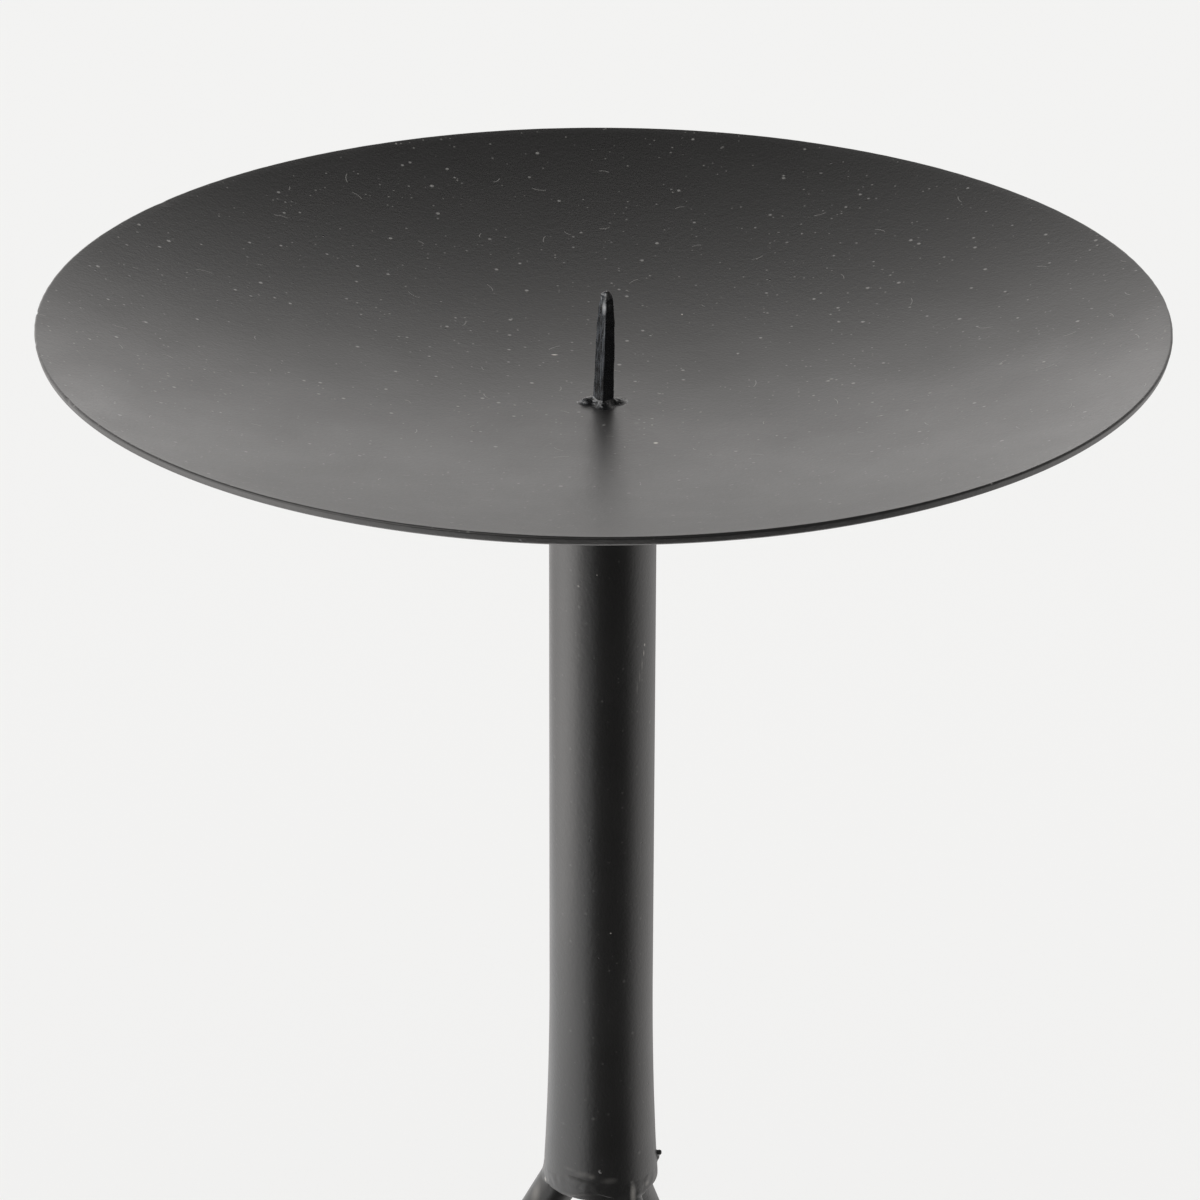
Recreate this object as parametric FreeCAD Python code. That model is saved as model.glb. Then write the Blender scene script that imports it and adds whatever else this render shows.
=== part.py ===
"""Pricket candle stand: a shallow sheet-steel drip pan with a short square pricket, carried by
a round tube stem. The lower end of the stem is flared over a bundle of three rods, which splay
out as the legs and stand on small round feet with felt pads.

Every length is in millimetres and every angle in degrees. The origin is on the floor under the
stem's axis, +Z is up and the front of the stand faces -Y."""

import FreeCAD
import Part
import math
import os

# Drip pan
PAN_DIAMETER = 140.0
PAN_DEPTH = 12.3
PAN_THICKNESS = 1.0
PAN_EDGE_BREAK = 0.25

# Pricket, a square spike that tapers a little and ends in a blunt tip
PRICKET_HEIGHT = 14.8
PRICKET_SIDE = 1.78
PRICKET_TIP_OFFSET = 0.4
PRICKET_TURN = 42.0
PRICKET_HEIGHT_SHARES = (0.0, 0.4, 0.7, 0.86, 0.95, 1.0)
PRICKET_SIDE_SHARES = (1.0, 0.94, 0.82, 0.74, 0.55, 0.28)
PRICKET_WELD_SPREAD = 1.1
PRICKET_WELD_HEIGHT = 0.8

# Stem tube
STEM_WALL = 0.75
STEM_LENGTH = 109.5
STEM_WELD_SIZE = 1.6

# Flared socket at the stem's lower end
MOUTH_HEIGHT = 110.0
SOCKET_LENGTH = 30.0
SOCKET_FLARE = 0.85
SOCKET_CLEARANCE = 0.05

# Legs, three round rods bundled in the socket
ROD_DIAMETER = 5.5
ROD_GAP = 0.05
ROD_INSERTION = 14.0
BEND_RADIUS = 12.0
BEND_ABOVE_MOUTH = 3.1
LEG_TURN = 60.0
LEG_SIDES = ("back", "left", "front")

# Weld round the mouth and the legs
MOUTH_BEAD_PROUD = 0.35
MOUTH_BEAD_HEIGHT = 2.8
LEG_WELD_SIZE = 0.7
LEG_WELD_LENGTH = 2.6

# Feet
FOOT_CIRCLE_RADIUS = 63.0
FOOT_DIAMETER = 13.0
FOOT_THICKNESS = 2.5
FOOT_EDGE_BREAK = 0.6
FOOT_WELD_SIZE = 1.3
FOOT_WELD_LENGTH = 2.6
FELT_DIAMETER = 11.5
FELT_THICKNESS = 1.5

# How far a cutting shape runs past the piece that it cuts
OVERRUN = 5.0

# The stem, sized round the bundle of rods
rod_radius = ROD_DIAMETER / 2
bundle_pitch_radius = (rod_radius + ROD_GAP / 2) / math.sin(math.radians(60))
bundle_radius = bundle_pitch_radius + rod_radius
stem_bore_radius = bundle_radius + SOCKET_CLEARANCE
stem_radius = stem_bore_radius + STEM_WALL
mouth_radius = stem_radius + SOCKET_FLARE
flare_radius = (SOCKET_LENGTH**2 + SOCKET_FLARE**2) / (2 * SOCKET_FLARE)
flare_angle = math.asin(SOCKET_LENGTH / flare_radius)

# The drip pan, a cap of a sphere that rests on the stem
pan_radius = PAN_DIAMETER / 2
pan_underside_z = MOUTH_HEIGHT + STEM_LENGTH
pan_floor_z = pan_underside_z + PAN_THICKNESS
pan_outer_sphere = (pan_radius**2 + PAN_DEPTH**2) / (2 * PAN_DEPTH)
pan_inner_sphere = pan_outer_sphere - PAN_THICKNESS
pan_sphere_centre_z = pan_floor_z + pan_inner_sphere

# The legs, straight from the bend to the feet
foot_bottom_z = FELT_THICKNESS
foot_top_z = FELT_THICKNESS + FOOT_THICKNESS
bend_z = MOUTH_HEIGHT + BEND_ABOVE_MOUTH
splay = math.atan2(FOOT_CIRCLE_RADIUS - bundle_pitch_radius, bend_z - foot_top_z)
leg_azimuths = {side: LEG_TURN + 360 / len(LEG_SIDES) * place for place, side in enumerate(LEG_SIDES)}

ORIGIN = FreeCAD.Vector(0, 0, 0)
Z_AXIS = FreeCAD.Vector(0, 0, 1)


def at(radius, z):
    """A point in the XZ plane, where every turned profile is drawn."""
    return FreeCAD.Vector(radius, 0, z)


def line(start, end):
    return Part.LineSegment(start, end).toShape()


def arc(start, middle, end):
    return Part.Arc(start, middle, end).toShape()


def outline(points):
    """The straight edges that join a closed row of points."""
    return [line(start, end) for start, end in zip(points, points[1:] + points[:1])]


def turned(edges):
    """The solid that a closed profile in the XZ plane sweeps round the stand's axis."""
    return Part.Face(Part.Wire(edges)).revolve(ORIGIN, Z_AXIS, 360)


def placed(shape, azimuth):
    """A copy of a shape drawn in the XZ plane, turned to an azimuth about the stand's axis."""
    return shape.rotated(ORIGIN, Z_AXIS, azimuth)


def one_solid(shape):
    """The piece that a boolean left, without the slivers that it may leave beside it."""
    return max(shape.Solids, key=lambda solid: solid.Volume)


def below(z):
    """A block that covers everything under a height."""
    corner = FreeCAD.Vector(-PAN_DIAMETER, -PAN_DIAMETER, -PAN_DIAMETER)
    return Part.makeBox(2 * PAN_DIAMETER, 2 * PAN_DIAMETER, z + PAN_DIAMETER, corner)


def pan_ball(radius):
    """A ball about the centre of the pan's curvature."""
    return Part.makeSphere(radius, at(0, pan_sphere_centre_z))


def drip_pan():
    """A spherical cap of even sheet, cut square to its surface at the rim, its edges broken."""
    rim_angle = math.asin(pan_radius / pan_outer_sphere)

    def on_sphere(radius, setback=0.0, share=1.0):
        angle = (rim_angle - setback / radius) * share
        return at(radius * math.sin(angle), pan_sphere_centre_z - radius * math.cos(angle))

    upper = on_sphere(pan_inner_sphere, PAN_EDGE_BREAK)
    upper_cut = on_sphere(pan_inner_sphere + PAN_EDGE_BREAK)
    lower_cut = on_sphere(pan_outer_sphere - PAN_EDGE_BREAK)
    lower = on_sphere(pan_outer_sphere, PAN_EDGE_BREAK)
    return turned(
        [
            arc(at(0, pan_floor_z), on_sphere(pan_inner_sphere, PAN_EDGE_BREAK, 0.5), upper),
            line(upper, upper_cut),
            line(upper_cut, lower_cut),
            line(lower_cut, lower),
            arc(lower, on_sphere(pan_outer_sphere, PAN_EDGE_BREAK, 0.5), at(0, pan_underside_z)),
            line(at(0, pan_underside_z), at(0, pan_floor_z)),
        ]
    )


def pricket():
    """The spike: ever smaller squares, each a little further over than the last, joined by flat
    faces. Its foot is cut to the pan's curved floor."""
    sections = []
    for height_share, side_share in zip(PRICKET_HEIGHT_SHARES, PRICKET_SIDE_SHARES):
        sink = PAN_THICKNESS if height_share == 0 else 0
        half_diagonal = PRICKET_SIDE * side_share / math.sqrt(2)
        corners = []
        for quarter in range(4):
            angle = math.radians(PRICKET_TURN + 45 + 90 * quarter)
            corners.append(
                FreeCAD.Vector(
                    PRICKET_TIP_OFFSET * height_share + half_diagonal * math.cos(angle),
                    half_diagonal * math.sin(angle),
                    pan_floor_z + PRICKET_HEIGHT * height_share - sink,
                )
            )
        sections.append(Part.makePolygon(corners + corners[:1]))
    blank = Part.makeLoft(sections, True, True)
    return one_solid(blank.common(pan_ball(pan_inner_sphere)))


def pricket_weld():
    """The low collar of weld metal round the spike's foot."""
    foot_radius = PRICKET_SIDE / math.sqrt(2)
    low = pan_floor_z - PAN_THICKNESS / 2
    shoulder_z = pan_floor_z + PRICKET_WELD_HEIGHT / 3
    collar = turned(
        outline(
            [
                at(0, low),
                at(foot_radius + PRICKET_WELD_SPREAD, low),
                at(foot_radius + PRICKET_WELD_SPREAD, pan_floor_z),
                at(foot_radius + PRICKET_WELD_SPREAD / 3, shoulder_z),
                at(foot_radius, pan_floor_z + PRICKET_WELD_HEIGHT),
                at(0, pan_floor_z + PRICKET_WELD_HEIGHT),
            ]
        )
    )
    return one_solid(collar.common(pan_ball(pan_inner_sphere)).cut(pricket()))


def stem_side(inset):
    """The stem's side, drawn from above the pan's underside down to the mouth and moved inward by
    an inset: straight, then an arc that leaves the tube without a kink."""
    top = at(stem_radius - inset, pan_underside_z + OVERRUN)
    flare_start = at(stem_radius - inset, MOUTH_HEIGHT + SOCKET_LENGTH)
    flare_centre = flare_start + at(flare_radius, 0)
    half_angle = flare_angle / 2
    middle = flare_centre - at(math.cos(half_angle), math.sin(half_angle)) * flare_radius
    mouth = at(mouth_radius - inset, MOUTH_HEIGHT)
    return top, mouth, [line(top, flare_start), arc(flare_start, middle, mouth)]


def stem_envelope():
    """The stem's outer shape with its bore filled, up to the pan."""
    top, mouth, side = stem_side(0)
    axis_top = at(0, top.z)
    axis_mouth = at(0, mouth.z)
    filled = turned(side + [line(mouth, axis_mouth), line(axis_mouth, axis_top), line(axis_top, top)])
    return filled.cut(pan_ball(pan_outer_sphere))


def stem():
    """The tube, its top cut to the pan's underside and its mouth notched by the three legs."""
    outer_top, outer_mouth, outer_side = stem_side(0)
    inner_top, inner_mouth, inner_side = stem_side(STEM_WALL)
    across_mouth = [line(outer_mouth, inner_mouth)]
    across_top = [line(inner_top, outer_top)]
    tube = turned(outer_side + across_mouth + inner_side[::-1] + across_top)
    tube = tube.cut(pan_ball(pan_outer_sphere))
    return one_solid(tube.cut([leg(azimuth) for azimuth in leg_azimuths.values()]))


def stem_weld():
    """The fillet of weld between the stem's top and the pan's underside."""
    ring = turned(
        outline(
            [
                at(stem_bore_radius, pan_underside_z - STEM_WELD_SIZE),
                at(stem_radius, pan_underside_z - STEM_WELD_SIZE),
                at(stem_radius + STEM_WELD_SIZE, pan_underside_z),
                at(stem_radius + STEM_WELD_SIZE, pan_floor_z),
                at(stem_bore_radius, pan_floor_z),
            ]
        )
    )
    return one_solid(ring.cut([stem_envelope(), pan_ball(pan_outer_sphere)]))


def leg_axis(z):
    """The point at a height on the straight stretch of a leg's axis."""
    return at(bundle_pitch_radius + (bend_z - z) * math.tan(splay), z)


def leg(azimuth):
    """A rod: upright in the bundle, bent outward just above the mouth, then straight to its foot."""
    corner = leg_axis(bend_z)
    down_the_leg = at(math.sin(splay), -math.cos(splay))
    tangent = BEND_RADIUS * math.tan(splay / 2)
    bend_start = corner + Z_AXIS * tangent
    bend_end = corner + down_the_leg * tangent
    bend_centre = bend_start + at(BEND_RADIUS, 0)
    bend_middle = bend_centre - at(math.cos(splay / 2), math.sin(splay / 2)) * BEND_RADIUS
    rod_top = at(bundle_pitch_radius, MOUTH_HEIGHT + ROD_INSERTION)
    path = Part.Wire(
        [
            line(rod_top, bend_start),
            arc(bend_start, bend_middle, bend_end),
            line(bend_end, leg_axis(foot_top_z - ROD_DIAMETER)),
        ]
    )
    section = Part.Wire([Part.Circle(rod_top, Z_AXIS, rod_radius).toShape()])
    rod = path.makePipeShell([section], True, False)
    return placed(one_solid(rod.cut(below(foot_top_z))), azimuth)


def weld_collar(z, size, length, azimuth):
    """Weld metal round a leg: thickest at a height, and tapering off up and down the leg."""
    down_the_leg = at(math.sin(splay), -math.cos(splay))
    lower = Part.makeCone(rod_radius + size, rod_radius, length, leg_axis(z), down_the_leg)
    upper = Part.makeCone(rod_radius + size, rod_radius, length, leg_axis(z), down_the_leg * -1)
    return placed(lower.fuse(upper), azimuth)


def leg_weld():
    """One run of weld metal round the mouth: a bead over the rim and a collar round each leg."""
    bead = turned(
        outline(
            [
                at(mouth_radius - STEM_WALL, MOUTH_HEIGHT - MOUTH_BEAD_PROUD),
                at(mouth_radius, MOUTH_HEIGHT - MOUTH_BEAD_PROUD),
                at(mouth_radius + MOUTH_BEAD_PROUD, MOUTH_HEIGHT),
                at(mouth_radius + MOUTH_BEAD_PROUD, MOUTH_HEIGHT + MOUTH_BEAD_HEIGHT / 2),
                at(stem_radius, MOUTH_HEIGHT + MOUTH_BEAD_HEIGHT),
                at(stem_bore_radius, MOUTH_HEIGHT + MOUTH_BEAD_HEIGHT),
            ]
        )
    )
    collars = []
    legs = []
    for azimuth in leg_azimuths.values():
        collars.append(weld_collar(MOUTH_HEIGHT, LEG_WELD_SIZE, LEG_WELD_LENGTH, azimuth))
        legs.append(leg(azimuth))
    return one_solid(bead.fuse(collars).cut([stem_envelope()] + legs))


def foot_disc(diameter, low, thickness):
    return Part.makeCylinder(diameter / 2, thickness, at(FOOT_CIRCLE_RADIUS, low))


def foot(azimuth):
    """A small steel disc under a leg, with its upper edge broken."""
    disc = foot_disc(FOOT_DIAMETER, foot_bottom_z, FOOT_THICKNESS)
    upper_edges = [edge for edge in disc.Edges if edge.BoundBox.ZMin > foot_top_z - FOOT_EDGE_BREAK]
    return placed(disc.makeChamfer(FOOT_EDGE_BREAK, upper_edges), azimuth)


def foot_weld(azimuth):
    """The bead round a leg's end on its foot."""
    collar = weld_collar(foot_top_z, FOOT_WELD_SIZE, FOOT_WELD_LENGTH, azimuth)
    return one_solid(collar.cut([below(foot_top_z), leg(azimuth)]))


def felt_pad(azimuth):
    """A felt disc stuck under a foot."""
    return placed(foot_disc(FELT_DIAMETER, 0, FELT_THICKNESS), azimuth)


def build():
    parts = {
        "drip_pan": drip_pan(),
        "pricket": pricket(),
        "pricket_weld": pricket_weld(),
        "stem": stem(),
        "stem_weld": stem_weld(),
        "leg_weld": leg_weld(),
    }
    for side, azimuth in leg_azimuths.items():
        parts["leg_" + side] = leg(azimuth)
        parts["foot_" + side] = foot(azimuth)
        parts["foot_weld_" + side] = foot_weld(azimuth)
        parts["felt_pad_" + side] = felt_pad(azimuth)
    return parts


def main():
    os.makedirs("parts", exist_ok=True)
    for name, shape in build().items():
        print(f"{name}: valid {shape.isValid()}, solids {len(shape.Solids)}, volume {shape.Volume:.2f}")
        shape.exportStep(os.path.join("parts", name + ".step"))


main()
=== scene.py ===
"""The looks of the pricket candle stand: meshes and materials in place of the plain solids, and
the studio in which it is seen. Lengths are in metres, or in millimetres among the materials, and
named angles are in degrees."""

import math

import bmesh
import bpy
import numpy as np
from mathutils import Matrix, Vector, noise


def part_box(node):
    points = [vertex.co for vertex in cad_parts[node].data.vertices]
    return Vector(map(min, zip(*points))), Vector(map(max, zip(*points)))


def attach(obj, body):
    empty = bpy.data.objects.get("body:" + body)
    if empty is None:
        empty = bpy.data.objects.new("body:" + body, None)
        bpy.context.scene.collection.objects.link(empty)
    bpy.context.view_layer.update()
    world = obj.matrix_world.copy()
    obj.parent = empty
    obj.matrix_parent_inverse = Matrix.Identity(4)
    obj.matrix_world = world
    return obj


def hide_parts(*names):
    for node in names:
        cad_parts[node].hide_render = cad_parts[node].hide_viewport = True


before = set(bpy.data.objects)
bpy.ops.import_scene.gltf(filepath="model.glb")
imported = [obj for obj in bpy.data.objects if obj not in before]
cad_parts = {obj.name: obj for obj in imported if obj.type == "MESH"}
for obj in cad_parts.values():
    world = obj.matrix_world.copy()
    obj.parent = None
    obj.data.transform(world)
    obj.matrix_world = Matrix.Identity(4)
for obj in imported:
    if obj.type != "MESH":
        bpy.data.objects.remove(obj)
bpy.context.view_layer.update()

# Drip pan
PAN_RADIUS = 0.070
PAN_DEPTH = 0.0123
PAN_THICKNESS = 0.0010
RIM_TOP_RADIUS = 0.00024
RIM_FACE_LEAN = 34.0
RIM_FOOT_RADIUS = 0.00034
PAN_WAVE_HEIGHT = 0.00004
PAN_WAVE_LENGTH = 0.024
RIM_WAVE_HEIGHT = 0.00003
RIM_WAVE_LENGTH = 0.0014
RIM_FACE_SHARES = (0.33, 0.67)
RIM_FACE_WEAR = 0.3
PAN_COLUMNS = 768
PAN_RINGS = 60
PAN_HUB_SHARE = 0.012
RIM_RINGS = 12
RIM_FOOT_RINGS = 9

# Nicks in the rim: azimuth, depth and width in degrees
RIM_NICKS = ((146.0, 0.00030, 0.45), (180.5, 0.00022, 0.35), (189.0, 0.00012, 0.5), (205.0, 0.00016, 0.4))

# Pricket, whose profile is (share of the height, share of the side)
PRICKET_SIDE = 0.00178
PRICKET_TIP_OFFSET = 0.0004
PRICKET_TURN = 42.0
PRICKET_CORNER_RADIUS = 0.00016
PRICKET_PROFILE_SHARES = (
    (0.0, 1.08), (0.06, 1.06), (0.14, 1.04), (0.24, 1.01), (0.38, 1.02), (0.55, 0.98),
    (0.72, 0.90), (0.86, 0.79), (0.94, 0.63), (0.97, 0.50), (0.99, 0.34), (1.0, 0.12),
)
PRICKET_SINK = 0.0006
PRICKET_ROWS = 150
PRICKET_COLUMNS = 96
PRICKET_ROW_POWER = 0.9
HAMMER_HEIGHT = 0.00006
HAMMER_LENGTH = 0.0011
GRAIN_HEIGHT = 0.000007
GRAIN_LENGTH = 0.00024
HAMMER_FLAT_AZIMUTH = -66.0
HAMMER_FLAT_CENTRE = 0.82
HAMMER_FLAT_LENGTH = 0.15
HAMMER_FLAT_DEPTH = 0.00008
HAMMER_FLAT_POWER = 4
BURR_AZIMUTH = 190.0
BURR_BELOW_TIP = 0.00035
BURR_HEIGHT = 0.00022
BURR_WIDTH = 0.00028
BURR_POWER = 3

# Stem
STEM_WALL = 0.00075
STEM_RADIUS = 0.006754
SOCKET_LENGTH = 0.030
SOCKET_FLARE = 0.00085
MOUTH_LIP_RADIUS = 0.0002
MOUTH_DENT_HEIGHT = 0.00005
MOUTH_DENT_LENGTH = 0.0032
MOUTH_DENT_REACH = 0.008
STEM_COLUMNS = 240
STEM_ROWS = 90
INNER_ROWS = 40
LIP_ROWS = 7
MOUTH_STEPS = 60
STEM_ROW_POWER = 1.6
ARCH_AZIMUTH = -98.0
ARCH_WIDTH = 20.0
ARCH_HEIGHT = 0.0011

# Legs
ROD_RADIUS = 0.00275
BUNDLE_PITCH_RADIUS = 0.003204
BEND_RADIUS = 0.012
BEND_ABOVE_MOUTH = 0.0031
ROD_END_CHAMFER = 0.0004
ROD_FOOT_SHARE = 1.2
ROD_COLUMNS = 56
ROD_TOP_ROWS = 10
ROD_BEND_ROWS = 16
ROD_ROWS = 60
LEG_TURN = 60.0
LEG_SIDES = ("back", "left", "front")

# Feet
FOOT_EDGE_RADIUS = 0.0006
FOOT_COLUMNS = 96
FELT_COLUMNS = 120
HIGH_EDGE_ROWS = 8
LOW_EDGE_ROWS = 6
FLAT_RING_SHARES = (0.05, 0.3, 0.6, 0.85)
FELT_FUZZ_HEIGHT = 0.00008
FELT_FUZZ_LENGTH = 0.0006

# Welds in general: their toes, how far they run out, their skin and their scales
WELD_TOE = 0.00005
WELD_REACH = 0.0016
WELD_MARGIN = 0.0028
WELD_ROUGH = 0.00006
WELD_ROUGH_LENGTH = 0.0011
WELD_SMOOTHINGS = 2
RIPPLE_HEIGHT = 0.00016
RIPPLE_BOW = 0.35

# Camera, fitted to the rim's ellipse and the stem's edges
LENS = 150.8
CAMERA_RIM_OFFSET = Vector((-0.00032, -0.57897, 0.22195))
CAMERA_PITCH = 24.26
CAMERA_ROLL = 0.193
CAMERA_NEAR = 0.01

stem_low, stem_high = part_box("stem")
foot_low, foot_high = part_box("foot_front")
pricket_low, pricket_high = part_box("pricket")
pan_low, pan_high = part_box("drip_pan")

mouth_z = stem_low.z
foot_top_z = foot_high.z
pan_underside_z = pan_low.z
pan_floor_z = pan_underside_z + PAN_THICKNESS
pan_outer_sphere = (PAN_RADIUS**2 + PAN_DEPTH**2) / (2 * PAN_DEPTH)
pan_inner_sphere = pan_outer_sphere - PAN_THICKNESS
pan_centre_z = pan_underside_z + pan_outer_sphere
rim_plane_z = pan_high.z
mouth_radius = STEM_RADIUS + SOCKET_FLARE
flare_radius = (SOCKET_LENGTH**2 + SOCKET_FLARE**2) / (2 * SOCKET_FLARE)
flare_start_z = mouth_z + SOCKET_LENGTH
foot_circle_radius = math.hypot((foot_low.x + foot_high.x) / 2, (foot_low.y + foot_high.y) / 2)
bend_z = mouth_z + BEND_ABOVE_MOUTH
splay = math.atan2(foot_circle_radius - BUNDLE_PITCH_RADIUS, bend_z - foot_top_z)
leg_azimuths = {side: LEG_TURN + 360 / len(LEG_SIDES) * place for place, side in enumerate(LEG_SIDES)}


# Meshes


def add_object(name, data):
    made = bpy.data.objects.new(name, data)
    bpy.context.scene.collection.objects.link(made)
    return made


def piece(name, vertices, faces, node, finish):
    """A smooth mesh that takes a node's place in the model, in the material of a finish of
    (slot, material); the slot is not used.
    """
    slot, material = finish
    mesh = bpy.data.meshes.new(name)
    mesh.from_pydata([tuple(v) for v in vertices], [], [tuple(f) for f in faces])
    mesh.polygons.foreach_set("use_smooth", [True] * len(mesh.polygons))
    mesh.materials.append(material)
    mesh.update()
    made = add_object(name, mesh)
    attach(made, "root")
    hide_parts(node)
    return made


def grid_faces(rows, columns, first=0, ring=False):
    """Quads between rows of points that each go once round, and with ring also from the last row
    back to the first."""
    faces = []
    for row in range(rows if ring else rows - 1):
        below = first + row * columns
        above = first + (row + 1) % rows * columns
        for column in range(columns):
            after = (column + 1) % columns
            faces.append((below + column, below + after, above + after, above + column))
    return faces


def capped_faces(rows, columns, start, end):
    """The quads of a skin of rows, closed at both ends by fans to two more points."""
    faces = grid_faces(rows, columns)
    last = (rows - 1) * columns
    for column in range(columns):
        after = (column + 1) % columns
        faces.append((start, after, column))
        faces.append((end, last + column, last + after))
    return faces


def waves(points, length, seed=0.0):
    """Smooth noise between about -1 and 1 at each point, with bumps of a length."""
    shift = Vector((seed, seed * 1.7, seed * 2.3))
    return np.array([noise.noise(Vector(p) / length + shift) for p in points])


def turned_angle(columns):
    return np.arange(columns) * 2 * np.pi / columns


def polar(radius, angle, z):
    """Points from cylindrical coordinates, which may be arrays."""
    radius, angle, z = np.broadcast_arrays(radius, angle, z)
    return np.stack([radius * np.cos(angle), radius * np.sin(angle), z], axis=-1)


def turned(x, y, turn):
    """Coordinates turned about the upright axis by an angle in radians."""
    return x * math.cos(turn) - y * math.sin(turn), x * math.sin(turn) + y * math.cos(turn)


def bell(offset, width):
    return np.exp(-((offset / width) ** 2))


def azimuth_bell(angle, azimuth, width):
    """A bell over angles in radians, round an azimuth in degrees."""
    return bell((np.degrees(angle) - azimuth + 180) % 360 - 180, width)


# Drip pan


def pan_profile():
    """The pan's section: rows of (radius, height, share of the rim's upper corner), up the dish,
    round the edge, whose face leans back under the rim, and home along the underside."""
    rim_angle = math.asin(PAN_RADIUS / pan_outer_sphere)

    def at(angle, depth):
        distance = pan_inner_sphere + depth
        return math.sin(angle) * distance, pan_centre_z - math.cos(angle) * distance

    def along(inward, depth):
        return at(rim_angle - inward / pan_outer_sphere, depth)

    rows = []
    corner_angle = rim_angle - RIM_TOP_RADIUS / pan_outer_sphere
    for share in np.linspace(PAN_HUB_SHARE, 1, PAN_RINGS):
        rows.append((*at(corner_angle * share, 0), 0.0))
    lean = math.radians(RIM_FACE_LEAN)
    for turn in np.linspace(0, math.pi / 2 + lean, RIM_RINGS)[1:]:
        inward = RIM_TOP_RADIUS * (1 - math.sin(turn))
        depth = RIM_TOP_RADIUS * (1 - math.cos(turn))
        rows.append((*along(inward, depth), math.sin(turn) ** 2))
    foot = PAN_THICKNESS - RIM_FOOT_RADIUS
    fall = foot - depth + RIM_FOOT_RADIUS * math.sin(lean)
    foot_inward = inward + fall * math.tan(lean)
    for share in RIM_FACE_SHARES:
        beside = inward + (foot_inward - inward) * share
        rows.append((*along(beside, depth + fall * share), RIM_FACE_WEAR))
    centre = foot_inward + RIM_FOOT_RADIUS * math.cos(lean)
    for turn in np.linspace(lean, math.pi / 2, RIM_FOOT_RINGS):
        beside = centre - RIM_FOOT_RADIUS * math.cos(turn)
        rows.append((*along(beside, foot + RIM_FOOT_RADIUS * math.sin(turn)), 0.0))
    under_angle = rim_angle - centre / pan_outer_sphere
    for share in np.linspace(1, PAN_HUB_SHARE, PAN_RINGS)[1:]:
        rows.append((*at(under_angle * share, PAN_THICKNESS), 0.0))
    return np.array(rows)


def make_drip_pan(finish):
    profile = pan_profile()
    size = (len(profile), PAN_COLUMNS)
    around = turned_angle(PAN_COLUMNS)[None, :]
    radius, z, corner = (profile[:, i, None] for i in range(3))
    flat = polar(radius, around, np.zeros_like(radius)).reshape(-1, 3)
    lift = PAN_WAVE_HEIGHT * waves(flat, PAN_WAVE_LENGTH, seed=3.1).reshape(size)
    rough = RIM_WAVE_HEIGHT * waves(flat, RIM_WAVE_LENGTH, seed=7.7).reshape(size)
    nick = np.zeros_like(around)
    for azimuth, depth, width in RIM_NICKS:
        nick = nick + depth * azimuth_bell(around, azimuth, width)
    cut = corner * (rough + nick)
    points = polar(radius - cut, around, z - lift - cut).reshape(-1, 3)
    start = len(points)
    points = np.vstack([points, [0, 0, pan_floor_z], [0, 0, pan_underside_z]])
    faces = capped_faces(*size, start, start + 1)
    return piece("dish", points, faces, "drip_pan", finish)


# Pricket


def rounded_square(turn, half_side, corner):
    """The point at an angle on a square whose corners are rounded."""
    direction = np.array([np.cos(turn), np.sin(turn)])
    on_square = direction * half_side / np.abs(direction).max()
    core = np.clip(on_square, corner - half_side, half_side - corner)
    beyond = on_square - core
    return core + beyond / np.linalg.norm(beyond) * corner


def make_pricket(finish):
    rows, columns = PRICKET_ROWS, PRICKET_COLUMNS
    height = pricket_high.z - pan_floor_z
    shares = np.array(PRICKET_PROFILE_SHARES)
    turn = math.radians(PRICKET_TURN)
    points = []
    for row in range(rows):
        climb = (row / (rows - 1)) ** PRICKET_ROW_POWER
        share = -PRICKET_SINK / height + (1 + PRICKET_SINK / height) * climb
        half_side = PRICKET_SIDE / 2 * np.interp(share, shares[:, 0], shares[:, 1])
        corner = PRICKET_CORNER_RADIUS * half_side * 2 / PRICKET_SIDE
        for column in range(columns):
            x, y = rounded_square(2 * math.pi * column / columns, half_side, corner)
            x, y = turned(x, y, turn)
            points.append((PRICKET_TIP_OFFSET * max(share, 0) + x, y, pan_floor_z + height * share))
    points = np.array(points)
    centre = points.reshape(rows, columns, 3).mean(axis=1)
    out = points.reshape(rows, columns, 3) - centre[:, None]
    out = (out / np.linalg.norm(out, axis=2)[:, :, None]).reshape(-1, 3)
    push = HAMMER_HEIGHT * waves(points, HAMMER_LENGTH, seed=1.3)
    push += GRAIN_HEIGHT * waves(points, GRAIN_LENGTH, seed=5.9)
    around = np.arctan2(out[:, 1], out[:, 0])
    burr_z = pricket_high.z - BURR_BELOW_TIP
    burr = np.cos(around - math.radians(BURR_AZIMUTH)).clip(0) ** BURR_POWER
    flat_side = np.cos(around - math.radians(HAMMER_FLAT_AZIMUTH)).clip(0) ** HAMMER_FLAT_POWER
    share = (points[:, 2] - pan_floor_z) / height
    slope = np.clip((share - HAMMER_FLAT_CENTRE) / HAMMER_FLAT_LENGTH, 0, 1)
    push -= HAMMER_FLAT_DEPTH * flat_side * slope
    push += BURR_HEIGHT * burr * bell(points[:, 2] - burr_z, BURR_WIDTH)
    points = points + out * push[:, None]
    start = len(points)
    points = np.vstack([points, centre[0], centre[-1]])
    faces = capped_faces(rows, columns, start, start + 1)
    return piece("spike", points, faces, "pricket", finish)


# Stem


def stem_outline(z):
    """The stem's outer radius at heights: straight, then flared towards the mouth."""
    below = np.clip(flare_start_z - z, 0, None)
    return STEM_RADIUS + flare_radius - np.sqrt(flare_radius**2 - below**2)


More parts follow.
